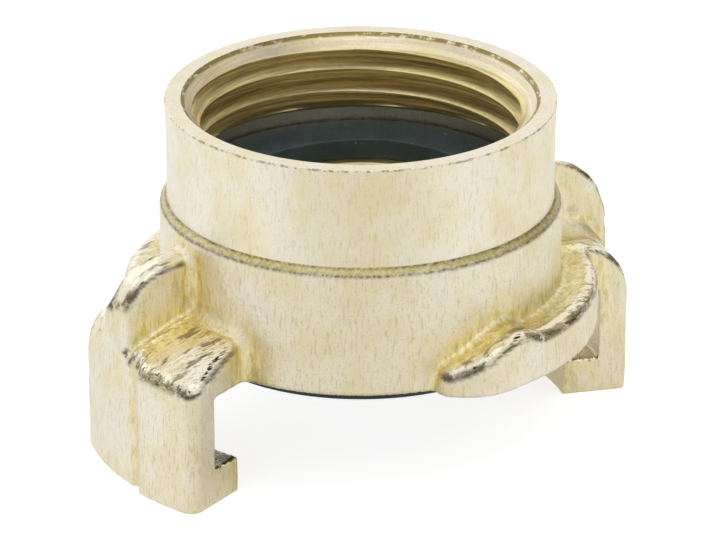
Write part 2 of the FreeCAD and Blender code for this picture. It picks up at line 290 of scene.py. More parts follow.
# The inside mark sets where the bore is painted golden and darker, a painted shade and warm reflection that
# fades up the lead-in
INSIDE_MARK_RADIUS = 16.99
LEAD_IN_BORDER = (LEAD_IN_BOTTOM, 0.2)
LEAD_IN_SHADE_FADE = 0.60
BORE_EDGE_BORDER = (TOP - 0.34, 0.06)

# A pattern is a noise's scale in a metre, its detail and roughness, the noise values between which a share
# rises, and the least and the greatest share.
Pattern = namedtuple("Pattern", "scale detail roughness low high least most", defaults=(0.3, 0.7, 0.0, 1.0))

# Patterns of pale brass, of the forging and of the turned pieces. A stretch under 1 draws a pattern out.
CLOUDS = Pattern(240, 3, 0.5, 0.38, 0.66)
STREAKS = Pattern(4200, 3, 0.6, 0.50, 0.72)
SPECKS = Pattern(5200, 3, 0.7, 0.56, 0.72)
STREAK_STRETCH = (1, 1, 0.20)
FORGED_FLECKS = 0.55
TURNED_FLECKS = 0.40

FORGED_GRAIN = Pattern(3000, 4, 0.7, 0.3, 0.7, 0.30, 0.42)
FINE_GRAIN = Pattern(7500, 2, 0.6)
SKIN_STREAKS = Pattern(3200, 3, 0.6)
RUBBING = Pattern(900, 3, 0.5)
# Mottle and brushing break up the painted golden reflection and shade of the hollows
HOLLOW_REFLECTION_MOTTLE = Pattern(800, 4, 0.7, 0.32, 0.64, 0.35, 1.25)
HOLLOW_REFLECTION_BANDS = Pattern(1700, 5, 0.75, 0.42, 0.62)
PITS = Pattern(3300, 5, 0.75, 0.60, 0.70)
PIT_CLUSTERS = Pattern(420, 2, 0.5, 0.44, 0.60, 0.15, 1.0)
# The smear pattern streaks a painted dark reflection over the rubbed tops
DARK_REFLECTION_STREAKS = Pattern(1100, 3, 0.6, 0.54, 0.62)
# Line breaks interrupt the painted dark reflection along the edges
DARK_EDGE_REFLECTION_BREAKS = Pattern(1000, 3, 0.6, 0.38, 0.50, 0.35, 1.0)
SEAM_BREAKS = Pattern(2400, 4, 0.7, 0.40, 0.60, 0.55, 1.0)
SKIN_STRETCH = (1, 1, 0.10)
RUBBING_STRETCH = (0.16, 1, 1)
HOLLOW_REFLECTION_STRETCH = (1, 1, 0.25)

TURNED_GRAIN = Pattern(3000, 3, 0.6, 0.3, 0.7, 0.28, 0.40)
LATHE_RINGS = Pattern(5200, 3, 0.6)
LATHE_BANDS = Pattern(2600, 4, 0.75, 0.40, 0.60)
RIM_DASHES = Pattern(1500, 4, 0.7, 0.48, 0.60)
# Darker patches along the top edge of the bore
BORE_EDGE_DARKENING = Pattern(1800, 4, 0.7, 0.34, 0.50)
LATHE_STRETCH = (0.02, 0.02, 1)
BORE_EDGE_STRETCH = (0.5, 0.5, 1)

# Colours of brass
WHITE = (1.0, 1.0, 1.0)
PALE = (0.90, 0.83, 0.69)
CREAM = (0.86, 0.77, 0.54)
STREAK_BROWN = (0.60, 0.50, 0.28)
SPECK_BROWN = (0.46, 0.39, 0.23)
# Painted golden reflection and shade of the forging's hollows
HOLLOW_REFLECTION_LIGHT = (0.95, 0.85, 0.48)
HOLLOW_REFLECTION_DEEP = (0.68, 0.56, 0.23)
# Painted shade and warm reflection of the bore
BORE_SHADE_LIGHT = (0.86, 0.73, 0.36)
BORE_SHADE_DEEP = (0.46, 0.36, 0.18)

# Marks on the brass: how much of the colour below they cover, and their own colour
Mark = namedtuple("Mark", "cover colour")
PIT_MARK = Mark(0.60, (0.30, 0.25, 0.15))
# Painted dark reflection streaks on the rubbed tops
DARK_REFLECTION_STREAK_MARK = Mark(0.78, (0.22, 0.17, 0.08))
# Painted dark reflection along rounded upper edges
DARK_EDGE_REFLECTION_MARK = Mark(0.92, (0.10, 0.08, 0.04))
SEAM_MARK = Mark(0.90, (0.52, 0.41, 0.12))
# Painted shade and dark reflection lines at the shoulder's edges
SHOULDER_EDGE_SHADE_MARK = Mark(0.95, (0.10, 0.08, 0.04))
RIM_MARK = Mark(0.75, (0.30, 0.25, 0.13))
BORE_EDGE_MARK = Mark(0.95, (0.28, 0.21, 0.06))

# Relief of the brass: height and strength
GRAIN_RELIEF = (0.08, 0.8)
FINE_RELIEF = (0.03, 0.6)
STREAK_RELIEF = (0.06, 0.6)
RUBBED_RELIEF = (0.26, 1.0)
RING_RELIEF = (0.03, 0.4)
TURNED_RELIEF = (0.05, 0.6)

# Share of the grain that is left on rubbed metal, what rubbing takes off the roughness and the least that it
# leaves, and what the turned inside adds
RUBBED_GRAIN = 0.03
POLISH_GLOSS = 0.32
LEAST_ROUGHNESS = 0.06
BORE_ROUGHNESS = 0.12

# Rubbers: dark and pale colour, roughness, and how much dust shows
Rubber = namedtuple("Rubber", "dark pale roughness dust")
SEAL_BLACK = Rubber((0.012, 0.015, 0.022), (0.020, 0.024, 0.034), 0.42, 0.0)
GASKET_GREY = Rubber((0.044, 0.068, 0.067), (0.070, 0.098, 0.095), 0.55, 0.60)
RUBBER_CLOUDS = Pattern(300, 4, 0.5)
RUBBER_GRAIN = Pattern(4500, 3, 0.5)
RUBBER_DUST = Pattern(2600, 2, 0.5, 0.70, 0.74)
RUBBER_ROUGHNESS_SWING = 0.06
RUBBER_RELIEF = (0.03, 0.5)
DUST_COLOUR = (0.35, 0.38, 0.36)

# Zones of the white room that the metal reflects: azimuth, 0 being -Y and 90 being +X, elevation, half the
# width, softness of the border, and the share of the room's light that comes from there
Zone = namedtuple("Zone", "azimuth elevation half_width softness tint")
ROOM_ZONES = [
    Zone(-46.4, 40.0, 8.0, 4.0, (0.05, 0.04, 0.03)),
    Zone(50.6, 53.0, 11.0, 4.0, (0.04, 0.03, 0.03)),
    Zone(-125.4, 33.0, 8.0, 4.0, (0.08, 0.07, 0.05)),
    Zone(-192.4, 44.0, 7.0, 4.0, (0.26, 0.20, 0.08)),
    Zone(87.6, 19.0, 15.0, 7.0, (0.38, 0.33, 0.22)),
    Zone(-184.4, 22.0, 16.0, 6.0, (1.35, 1.38, 1.45)),
    Zone(-147.4, 34.0, 11.0, 6.0, (1.40, 1.42, 1.48)),
    Zone(10.6, 33.0, 15.0, 9.0, (1.25, 1.27, 1.30)),
    Zone(-34.4, 67.0, 14.0, 6.0, (1.30, 1.32, 1.36)),
]

# Darker band of the room above the floor: tint, azimuth of its middle, the heights between which its lower
# and its upper border lie, and the cosines between which it fades at the back
HORIZON_TINT = (0.50, 0.46, 0.38)
HORIZON_AZIMUTH = -14.4
HORIZON_LOWER = (-0.02, 0.04)
HORIZON_UPPER = (0.26, 0.16)
HORIZON_BACK = (-0.80, -0.62)

# Light on the object
LIGHT_COLOUR = (0.93, 0.96, 1.0)
LIGHT_STRENGTH = 0.72

# Floor: size, place and finish, what it adds for the camera and in reflections, and the tints that it shows
# in reflections, by azimuth
FLOOR_REACH = 1500.0
FLOOR_HEIGHT = -0.02
FLOOR_COLOUR = (0.9, 0.9, 0.9)
FLOOR_ROUGHNESS = 0.9
FLOOR_SEEN = 0.66
FLOOR_REFLECTED = 0.40
FLOOR_TINTS = ((-34.4, (0.62, 0.54, 0.28)), (70.6, (0.84, 0.78, 0.58)))
FLOOR_TINT_RANGE = (0.62, 1.0)

# Sockets of a colour Mix node, whose names its other kinds share
MIX_FACTOR = 0
MIX_FIRST = 6
MIX_SECOND = 7
MIX_RESULT = 2


def round_join(first, second, radius):
    """Join two fields and fill the hollow corner between them with a fillet."""
    across = np.maximum(radius - first, 0)
    along = np.maximum(radius - second, 0)
    return np.maximum(radius, np.minimum(first, second)) - np.hypot(across, along)


def round_cut(first, second, radius):
    """Keep what is inside both fields, with their outer corner rounded."""
    across = np.maximum(radius + first, 0)
    along = np.maximum(radius + second, 0)
    return np.minimum(-radius, np.maximum(first, second)) + np.hypot(across, along)


def smooth(share):
    """Ease a share between 0 and 1 in and out."""
    return share * share * (3 - 2 * share)


def blend_step(values, middle, half_width):
    """Smooth step from 0 to 1 over a border."""
    return smooth(np.clip((values - middle) / (2 * half_width) + 0.5, 0, 1))


def mix(first, second, share):
    """Value between two others."""
    return first + (second - first) * share


def polar(x, y):
    """Radius and angle in degrees, from +X towards +Y."""
    return np.hypot(x, y), np.degrees(np.arctan2(y, x))


def beyond(x, y, degrees):
    """Distance past the half-plane that stands on the axis at an angle, positive with growing angle."""
    angle = math.radians(degrees)
    return y * math.cos(angle) - x * math.sin(angle)


def slope_field(radius, z, root, edge, reach):
    """Distance above a top face that falls from the root height to the edge height over its reach."""
    fall = root - edge
    return ((radius - ROOT_RADIUS) * fall + (z - root) * reach) / np.hypot(fall, reach)


def spline(knots, values):
    """Natural cubic spline through a few knots, as a function that is level outside them."""
    count = len(knots)
    spans = np.diff(knots)
    matrix = np.eye(count)
    right = np.zeros(count)
    for index in range(1, count - 1):
        before, after = spans[index - 1], spans[index]
        matrix[index, index - 1:index + 2] = before, 2 * (before + after), after
        rise_after = (values[index + 1] - values[index]) / after
        rise_before = (values[index] - values[index - 1]) / before
        right[index] = 6 * (rise_after - rise_before)
    bends = np.linalg.solve(matrix, right)

    def value_at(places):
        inside = np.clip(places, knots[0], knots[-1])
        span = np.clip(np.searchsorted(knots, inside, side="right") - 1, 0, count - 2)
        width = spans[span]
        left = inside - knots[span]
        rest = knots[span + 1] - inside
        return (
            (bends[span] * rest ** 3 + bends[span + 1] * left ** 3) / (6 * width)
            + (values[span] / width - bends[span] * width / 6) * rest
            + (values[span + 1] / width - bends[span + 1] * width / 6) * left
        )

    return value_at


CAM_TOP, CAM_RADIUS, CAM_EDGE = (spline(CAM_KNOTS[:, 0], CAM_KNOTS[:, column]) for column in (1, 2, 3))


def fin_field(x, y, z, fin_sides):
    """Fin of the claw that faces +X, a bar whose top falls and bends down into the claw's wall."""
    radius, angle = polar(x, y)
    across = np.clip((angle - FIN_START) / (FIN_END - FIN_START), -FIN_OVERRUN, 1 + FIN_OVERRUN)
    root, edge, corner = (mix(cam_side, free_side, across) for cam_side, free_side in zip(*fin_sides))
    fin = slope_field(radius, z, root, edge, FIN_REACH)
    fin = round_cut(fin, radius - (LOW_WALL_RADIUS - LOW_WALL_INSET), corner)
    fin = round_cut(fin, -beyond(x, y, FIN_START), FIN_SIDE_ROUNDING)
    return round_cut(fin, beyond(x, y, FIN_END), FIN_SIDE_ROUNDING)


def pillar_top_field(x, y, z):
    """Distance above the top of the pillar on the claw that faces +X."""
    radius = np.hypot(x, y)
    from_edge = np.minimum(beyond(x, y, FIN_END), radius - BARREL_RADIUS)
    top = slope_field(radius, z, PILLAR_ROOT, PILLAR_EDGE, PILLAR_REACH)
    top = top + DISH_DEPTH * blend_step(from_edge, *DISH_BORDER)
    top = top + PILLAR_DROOP * (radius - PILLAR_CREST_RADIUS) ** 2
    return top + PILLAR_DROOP * np.maximum(beyond(x, y, PILLAR_CREST_ANGLE), 0) ** 2


def claw_field(x, y, z, fin_sides):
    """Claw that faces +X, with its foot, low part, strip, fin and pillar."""
    radius, angle = polar(x, y)
    strip = blend_step(angle, *STRIP_START) * STRIP_DEPTH
    pillar_wall = blend_step(angle, *STRIP_END) * PILLAR_WALL_STEP
    inset = LOW_WALL_INSET * (1 - blend_step(angle, *INSET_END))
    wall = radius - (LOW_WALL_RADIUS - inset - strip + pillar_wall)

    base = mix(z - LOW_TOP, pillar_top_field(x, y, z), blend_step(angle, *PILLAR_BORDER))
    fillet = mix(FIN_LOW_FILLET, FIN_PILLAR_FILLET, blend_step(angle, *FIN_FILLET_BORDER))
    top = round_join(base, fin_field(x, y, z, fin_sides), fillet)

    corner = mix(LOW_CORNER, FIN_FOOT_CORNER, blend_step(angle, *FIN_FOOT_BORDER))
    corner = mix(corner, PILLAR_CORNER, blend_step(angle, *PILLAR_CORNER_BORDER))
    claw = round_cut(top, wall, corner)
    claw = round_cut(claw, beyond(x, y, CLAW_HALF_ANGLE), PILLAR_SIDE_ROUNDING)
    return round_cut(claw, -beyond(x, y, -CLAW_HALF_ANGLE), CAM_SIDE_ROUNDING)


def cam_field(x, y, z):
    """Cam of the claw that faces +X."""
    radius, angle = polar(x, y)
    cam = round_cut(z - CAM_TOP(angle), radius - CAM_RADIUS(angle), CAM_EDGE(angle))
    cam = round_cut(cam, -beyond(x, y, CAM_NOSE), CAM_NOSE_ROUNDING)
    cam = np.maximum(cam, FACE - CAM_DROP - z)
    return np.maximum(cam, beyond(x, y, CAM_CLAW_END))


def barrel_field(x, y, z):
    """Barrel with its sloping shoulder under the turned ring."""
    radius = np.hypot(x, y)
    shoulder = (radius - RING_RADIUS + z - SHOULDER_TOP) / math.sqrt(2)
    return round_cut(radius - BARREL_RADIUS, shoulder, SHOULDER_CORNER)


def void_field(x, y, z):
    """Space that the turning tool cut: the slots over the feet and what lies inside the feet."""
    radius = np.hypot(x, y)
    slot = np.maximum(radius - HOOK_INNER_RADIUS, np.maximum(FOOT_THICKNESS - z, z - FACE))
    between_feet = np.maximum(radius - FOOT_INNER_RADIUS, z - FACE)
    return np.minimum(slot, between_feet)


def forged_field(x, y, z):
    """The whole forged outside, hollow where the turned inside sits."""
    metal = barrel_field(x, y, z)
    for side, fin_sides in ((1, HIGH_FIN), (-1, LEVEL_FIN)):
        metal = round_join(metal, cam_field(side * x, side * y, z), CAM_FILLET)
        metal = round_join(metal, claw_field(side * x, side * y, z, fin_sides), CLAW_FILLET)
    metal = round_cut(metal, -z, FOOT_EDGE)
    metal = round_cut(metal, -void_field(x, y, z), SLOT_EDGE)
    metal = round_cut(metal, RECESS_RADIUS - np.hypot(x, y), RECESS_EDGE)
    return np.maximum(metal, z - FORGED_TOP)


def corner_values(values, offset):
    """Values at one corner of every grid cell."""
    return values[tuple(slice(o, values.shape[axis] - 1 + o) for axis, o in enumerate(offset))]


def net_of(field):
    """Mesh the zero surface of a field: one vertex in each grid cell that it crosses, as points and quads."""
    axes = [np.arange(low, high, GRID_STEP) for low, high in zip(GRID_LOW, GRID_HIGH)]
    values = field(*np.meshgrid(*axes, indexing="ij"))
    inside = values < 0
    offsets = list(itertools.product((0, 1), repeat=3))
    full = sum(corner_values(inside, offset).astype(np.int8) for offset in offsets)
    crossed = (full > 0) & (full < len(offsets))
    numbers = np.full(crossed.shape, -1)
    numbers[crossed] = np.arange(np.count_nonzero(crossed))
    corners = {offset: corner_values(values, offset)[crossed] for offset in offsets}
    total = np.zeros((np.count_nonzero(crossed), 3))
    hits = np.zeros(len(total))
    for start, end in itertools.combinations(offsets, 2):
        along = np.subtract(end, start)
        if np.abs(along).sum() != 1:
            continue
        first, last = corners[start], corners[end]
        changes = (first < 0) != (last < 0)
        share = np.where(changes, first / np.where(changes, first - last, 1), 0)
        total += changes[:, None] * (np.array(start) + share[:, None] * along)
        hits += changes
    cells = np.argwhere(crossed)
    points = np.array(GRID_LOW) + GRID_STEP * (cells + total / hits[:, None])
    return points, quads_of(inside, numbers)


def quads_of(inside, numbers):
    """Quads round each grid edge whose two ends lie on different sides of the surface."""
    quads = []
    for axis in range(3):
        second, third = (axis + 1) % 3, (axis + 2) % 3
        ahead = np.moveaxis(inside, (axis, second, third), (0, 1, 2))
        cells = np.moveaxis(numbers, (axis, second, third), (0, 1, 2))
        start, end = ahead[:-1, 1:-1, 1:-1], ahead[1:, 1:-1, 1:-1]
        ring = np.stack([
            cells[:, :-1, :-1], cells[:, 1:, :-1], cells[:, 1:, 1:], cells[:, :-1, 1:],
        ], axis=-1)
        quads.append(ring[start & ~end])
        quads.append(ring[~start & end][:, ::-1])
    return np.concatenate(quads)


def samples_beside(field, points, reach):
    """Field a reach before and behind each point, for X, Y and Z in turn."""
    for axis in range(3):
        offset = np.zeros(3)
        offset[axis] = reach
        yield axis, field(*(points + offset).T), field(*(points - offset).T)


def slopes_of(field, points, reach):
    """Gradient of a field by differences."""
    slopes = np.empty_like(points)
    for axis, before, behind in samples_beside(field, points, reach):
        slopes[:, axis] = (before - behind) / (2 * reach)
    return slopes


def curvature_of(field, points, reach):
    """Sum of the two curvatures, positive on outer corners and negative in hollow ones."""
    total = -6 * field(*points.T)
    for _, before, behind in samples_beside(field, points, reach):
        total += before + behind
    return total / reach ** 2


def settle(field, points):
    """Move points along the gradient until they lie on the zero surface."""
    for _ in range(SETTLE_ROUNDS):
        slopes = slopes_of(field, points, SETTLE_REACH)
        steepness = np.maximum((slopes ** 2).sum(axis=1), LEAST_STEEPNESS)
        moves = slopes * (field(*points.T) / steepness)[:, None]
        points = points - np.clip(moves, -LONGEST_MOVE, LONGEST_MOVE)
    return points


def waves(points, lengths, seed):
    """Smooth uneven field made of plane waves of given lengths, about -1 to 1."""
    source = np.random.default_rng(seed)
    total = np.zeros(len(points))
    for length in lengths:
        direction = source.normal(size=3)
        direction /= np.linalg.norm(direction)
        total += np.sin(points @ direction * (2 * math.pi / length) + source.uniform(0, 2 * math.pi))
    return total / math.sqrt(len(lengths))


def mesh_object(name, points, faces, marks=None):
    """Make an object from points in millimetres. Marks are numbers on its points, for its material."""
    mesh = bpy.data.meshes.new(name)
    mesh.from_pydata((np.asarray(points) * METRES).tolist(), [], np.asarray(faces).tolist())
    mesh.update()
    mesh.polygons.foreach_set("use_smooth", [True] * len(mesh.polygons))
    made = bpy.data.objects.new(name, mesh)
    bpy.context.scene.collection.objects.link(made)
    for key, values in (marks or {}).items():
        layer = mesh.attributes.new(key, "FLOAT", "POINT")
        layer.data.foreach_set("value", np.asarray(values, np.float32))
    return made


def enclosure_of(field, points, outward):
    """How far nearby metal closes in on each point, from 0 in the open to 1."""
    total = np.zeros(len(points))
    for reach in ENCLOSURE_REACHES:
        open_space = field(*(points + outward * reach).T) / reach
        total += np.clip(1 - open_space, 0, 1)
    return total / len(ENCLOSURE_REACHES)


def dark_edge_reflection(outward, bends):
    """1 along the lower border of rounded upper edges, where the rubbed metal meets the blasted skin. It
    marks a painted dark reflection there.
    """
    facing = np.exp(-((outward[:, 2] - LINE_FACING) / LINE_WIDTH) ** 4)
    return facing * np.clip(bends * LINE_GAIN - LINE_START, 0, 1)


def pillar_top_share(points, outward):
    """1 on the sloping tops of the two pillars, which are rubbed bright, and 0 elsewhere."""
    side = np.sign(points[:, 0])
    radius, angle = polar(side * points[:, 0], side * points[:, 1])
    share = blend_step(angle, *RUBBED_START) * (1 - blend_step(angle, *RUBBED_END))
    share *= blend_step(radius, *RUBBED_ROOT) * blend_step(outward[:, 2], *RUBBED_SLOPE)
    return share * (points[:, 2] > RUBBED_LOW) * (points[:, 2] < RUBBED_HIGH)


def is_turned(points, radius):
    """Whether each point lies on a face that the turning tool cut."""
    in_slot = np.abs(void_field(*points.T)) < SLOT_FACE_REACH
    in_recess = radius < RECESS_RADIUS + RECESS_FACE_REACH
    return in_slot | in_recess | (points[:, 2] < FOOT_FACE_REACH) | (points[:, 2] > SHOULDER_BOTTOM)


def forged_marks(points, radius, outward, bends, turned):
    """Where the forging is rubbed bright, has a painted golden reflection and shade in a hollow, a painted
    dark reflection along an edge, or its shoulder's seam with painted shade lines along its edges.
    """
    height = points[:, 2]
    outer = blend_step(radius, *OUTER_BORDER)
    facing_up = np.clip((outward[:, 2] - FACING_UP_START) / FACING_UP_SPAN, 0, 1)
    rubbed = np.clip((bends + POLISH_BEND) * POLISH_GAIN, 0, 1) * facing_up * outer
    in_corner = np.clip(-bends * HOLLOW_BEND_GAIN, 0, HOLLOW_BEND_MOST)
    enclosure = enclosure_of(forged_field, points, outward) - HOLLOW_ENCLOSURE_START
    # The hollow mark carries a painted golden reflection and shade, and gathers pits
    hollow_reflection_and_pits = np.clip(in_corner + HOLLOW_ENCLOSURE_GAIN * enclosure, 0, 1)
    on_shoulder = radius < BARREL_RADIUS + SEAM_REACH
    seam = blend_step(height, *SEAM_BORDER) * on_shoulder
    # Painted shade and dark reflection lines at the shoulder's lower and upper edges
    shoulder_edge_shade = sum(np.exp(-((height - middle) / width) ** 2) for middle, width in SHOULDER_EDGE_SHADE_LINES)
    return {
        "polish": np.maximum(rubbed, pillar_top_share(points, outward)),
        "hollow_reflection_and_pits": hollow_reflection_and_pits * ~turned * (1 - seam),
        "dark_edge_reflection": dark_edge_reflection(outward, bends) * np.maximum(outer, seam) * ~turned,
        "seam": seam,
        "shoulder_edge_shade": shoulder_edge_shade * on_shoulder,
    }


def make_forged_body():
    """Barrel, claws and cams as one surface."""
    points, quads = net_of(forged_field)
    points = settle(forged_field, points)
    bends = curvature_of(forged_field, points, BEND_REACH)
    slopes = slopes_of(forged_field, points, SLOPE_REACH)
    outward = slopes / np.linalg.norm(slopes, axis=1)[:, None]
    radius = np.hypot(points[:, 0], points[:, 1])
    turned = is_turned(points, radius)
    uneven = sum(height * waves(points, lengths, seed) for height, lengths, seed in SKIN_WAVES)
    points = points + outward * (uneven * ~turned)[:, None]
    return mesh_object("forged_body", points, quads, forged_marks(points, radius, outward, bends, turned))


def profile_of(corners):
    """Closed outline from corners (radius, height) or (radius, height, rounding), as points."""
    places = [Vector(corner[:2]) for corner in corners]
    outline = []
    for index, corner in enumerate(corners):
        place = places[index]
        if len(corner) == 2:
            outline.append(tuple(place))
            continue
        before = (places[index - 1] - place).normalized()
        after = (places[(index + 1) % len(places)] - place).normalized()
        half = before.angle(after) / 2
        start = place + before * corner[2] / math.tan(half)
        end = place + after * corner[2] / math.tan(half)
        for step in range(ROUNDING_STEPS + 1):
            share = step / ROUNDING_STEPS
            rest = 1 - share
            outline.append(tuple(start * rest ** 2 + place * 2 * share * rest + end * share ** 2))
    return outline


def rows_and_columns(columns):
    """Numbers of a turned grid's points, those of the next segment, and those one row further in each."""
    here = np.arange(SEGMENTS)[:, None] * columns + np.arange(columns)
    return here, np.roll(here, -1, axis=0)


def quads_between(here, beside):
    """Quads between each segment and the next, all round a closed outline."""
    above = np.roll(here, -1, axis=1)
    diagonal = np.roll(beside, -1, axis=1)
    return np.stack([here, beside, diagonal, above], axis=-1).reshape(-1, 4)


def turn(name, outline, shift=None, marks=None):
    """Turn a closed outline about the axis. A shift moves its points, given angle, radius and height."""
    outline = np.array(outline)
    angle = np.repeat(np.linspace(0, 2 * math.pi, SEGMENTS, endpoint=False), len(outline))
    radius = np.tile(outline[:, 0], SEGMENTS)
    height = np.tile(outline[:, 1], SEGMENTS)
    if shift is not None:
        radius, height = shift(angle, radius, height)
    points = np.stack([radius * np.cos(angle), radius * np.sin(angle), height], axis=1)
    quads = quads_between(*rows_and_columns(len(outline)))
    return mesh_object(name, points, quads, marks(radius, height) if marks else None)


def sharpen(made, degrees):
    """Keep edges sharper than an angle crisp in the shading."""
    made.data.set_sharp_from_angle(angle=math.radians(degrees))


def make_turned_inside():
    """Ring, threaded hole without its thread, ledge, flow bore and seal recess, as one turned solid."""
    outline = profile_of([
        (MOUTH_RADIUS, TOP, MOUTH_CORNER),
        (RING_RADIUS + RIM_FLARE, TOP, RIM_CORNER),
        (RING_RADIUS + RIM_FLARE * RIM_EDGE_SHARE, TOP - RIM_EDGE_DROP),
        (RING_RADIUS, TOP - RIM_FLARE_HEIGHT),
        (RING_RADIUS, RING_FOOT),
        (CORE_RADIUS, CORE_TOP),
        (CORE_RADIUS, CORE_BOTTOM),
        (RECESS_RADIUS, CORE_MOUTH),
        (RECESS_RADIUS, GROOVE_BOTTOM),
        (GROOVE_RADIUS, GROOVE_BOTTOM),
        (GROOVE_RADIUS, GROOVE_TOP),
        (RECESS_RADIUS, GROOVE_TOP),
        (RECESS_RADIUS, RECESS_TOP, FLOW_CORNER),
        (FLOW_RADIUS, RECESS_TOP, FLOW_CORNER),
        (FLOW_RADIUS, LEDGE, FLOW_CORNER),
        (UNDERCUT_RADIUS, LEDGE),
        (UNDERCUT_RADIUS, UNDERCUT_TOP),
        (MOUTH_RADIUS, UNDERCUT_TOP),
    ])

    def marks(radius, height):
        # The inside mark paints the bore golden and darker, a painted shade and warm reflection
        return {
            "inside": (radius < INSIDE_MARK_RADIUS) & (height < LEAD_IN_BOTTOM),
            "rim_edge": (radius > RIM_MARK_RADIUS) & (height > RIM_MARK_LOW),
        }

    # These corners run the other way round than those of the rubber rings
    made = turn("turned_inside", outline[::-1], marks=marks)
    sharpen(made, TURNED_CREASE)
    return made


def thread_wall(turns, height):
    """Radius of the thread's inner wall, given the turns about the axis and the height."""
    # Share of the way across the ridge: 1 at a crest, which stands inward, and 0 at a root
    phase = ((height - THREAD_CREST) / THREAD_PITCH - turns + 0.5) % 1.0
    ridge = 1 - 2 * np.abs(phase - 0.5)
    ridge = np.clip((ridge - 0.5) * RIDGE_GAIN + 0.5, 0, 1)
    ridge = smooth(ridge) * RIDGE_ROUNDNESS + ridge * (1 - RIDGE_ROUNDNESS)
    wall = THREAD_ROOT - THREAD_DEPTH * ridge
    lead_in = MOUTH_RADIUS - LEAD_IN_SLOPE * (TOP - height)
    relief = RELIEF_RADIUS - RELIEF_SLOPE * (height - UNDERCUT_TOP)
    wall = np.maximum(wall, np.maximum(lead_in, relief))
    return np.minimum(wall, THREAD_SLEEVE - THREAD_LEAST_WALL)


def make_thread():
    """Thread as a sleeve whose inner wall follows the helix, with a lead-in chamfer at the top."""
    angles = np.linspace(0, 2 * math.pi, SEGMENTS, endpoint=False)
    rows = (THREAD_HIGH - THREAD_LOW) / THREAD_PITCH * THREAD_ROWS
    steps = np.arange(-THREAD_ROWS, rows + THREAD_ROWS + 1)
    angle, step = np.meshgrid(angles, steps, indexing="ij")
    turns = angle / (2 * math.pi)
    height = THREAD_LOW + THREAD_PITCH * (step / THREAD_ROWS + turns - 0.5)
    height = np.clip(height, THREAD_LOW, THREAD_HIGH)
    wall = thread_wall(turns, height)
    inner = np.stack([wall * np.cos(angle), wall * np.sin(angle), height], axis=-1)
    outer = np.stack([THREAD_SLEEVE * np.cos(angles), THREAD_SLEEVE * np.sin(angles)], axis=-1)
    bottom, top = (np.column_stack([outer, np.full(SEGMENTS, end)]) for end in (THREAD_LOW, THREAD_HIGH))
    points = np.concatenate([bottom[:, None], inner, top[:, None]], axis=1)
    here, beside = rows_and_columns(points.shape[1])
    # The helix climbs by one pitch in a turn, so the last segment meets the first one pitch further up
    last_row = len(steps) - 1
    beside[-1, 1:-1] = here[0, 1:-1][np.minimum(np.arange(len(steps)) + THREAD_ROWS, last_row)]
    # The outline runs up its inner side, so its quads are turned over
    quads = quads_between(here, beside)[:, [0, 3, 2, 1]]
    height = points[..., 2].ravel()
    # The inside mark paints a shade and warm reflection into the bore, fading out up the lead-in
    made = mesh_object("pipe_thread", points.reshape(-1, 3), quads, {
        "inside": 1 - LEAD_IN_SHADE_FADE * blend_step(height, *LEAD_IN_BORDER),
        "bore_edge": blend_step(height, *BORE_EDGE_BORDER),
    })
    merge_close(made)
    sharpen(made, THREAD_CREASE)
    return made


def merge_close(made):
    """Merge points that coincide, and with them the faces that have no area."""
    mesh = bmesh.new()
    mesh.from_mesh(made.data)
    bmesh.ops.remove_doubles(mesh, verts=mesh.verts, dist=MERGE_DISTANCE)
    mesh.to_mesh(made.data)
    mesh.free()


def make_coupling_seal():
    """Rubber ring of the coupling face."""
    channel_floor = SEAL_FACE + CHANNEL_DEPTH
    outline = profile_of([
        (SEAL_BORE, SEAL_FACE, SEAL_FACE_CORNER),
        (CHANNEL_INNER, SEAL_FACE, CHANNEL_EDGE_CORNER),
        (CHANNEL_INNER + CHANNEL_SIDE, channel_floor, CHANNEL_FLOOR_CORNER),
        (CHANNEL_OUTER - CHANNEL_SIDE, channel_floor, CHANNEL_FLOOR_CORNER),
        (CHANNEL_OUTER, SEAL_FACE, CHANNEL_EDGE_CORNER),
        (SEAL_RADIUS, SEAL_FACE, SEAL_FACE_CORNER),
        (SEAL_RADIUS, SEAL_RIDGE_BOTTOM),
        (SEAL_RIDGE_RADIUS, SEAL_RIDGE_BOTTOM, SEAL_RIDGE_CORNER),
        (SEAL_RIDGE_RADIUS, SEAL_RIDGE_TOP, SEAL_RIDGE_CORNER),
        (SEAL_RADIUS, SEAL_RIDGE_TOP),
        (SEAL_RADIUS, RECESS_TOP),
        (SEAL_BORE, RECESS_TOP, SEAL_BACK_CORNER),
    ])
    return turn("seal_ring", outline)


def make_thread_gasket():
    """Flat rubber ring on the ledge, slightly wavy at its hole and on its top."""
    outline = profile_of([
        (GASKET_BORE, GASKET_BOTTOM, GASKET_LOW_CORNER),
        (GASKET_RADIUS, GASKET_BOTTOM, GASKET_LOW_CORNER),
        (GASKET_RADIUS, GASKET_TOP, GASKET_OUTER_CORNER),
        (GASKET_BORE, GASKET_TOP, GASKET_INNER_CORNER),
    ])

    def wave(angle, swing, count, phase):
        return swing * np.sin(count * angle + phase)

    def shift(angle, radius, height):
        near_bore = np.clip((GASKET_BORE_REACH - radius) / GASKET_BORE_FADE, 0, 1)
        near_top = np.clip((height - GASKET_TOP_START) / GASKET_TOP_FADE, 0, 1)
        wavy = sum(wave(angle, *row) for row in GASKET_BORE_WAVES)
        sag = GASKET_TOP_SAG + wave(angle, *GASKET_TOP_WAVE)
        return radius + wavy * near_bore, height - near_top * sag

    return turn("gasket_ring", outline, shift=shift)


def direction_of(azimuth, elevation=0.0):
    """Unit vector from the object towards a place, azimuth 0 being towards -Y."""
    a, e = math.radians(azimuth), math.radians(elevation)
    return Vector((math.sin(a) * math.cos(e), -math.cos(a) * math.cos(e), math.sin(e)))


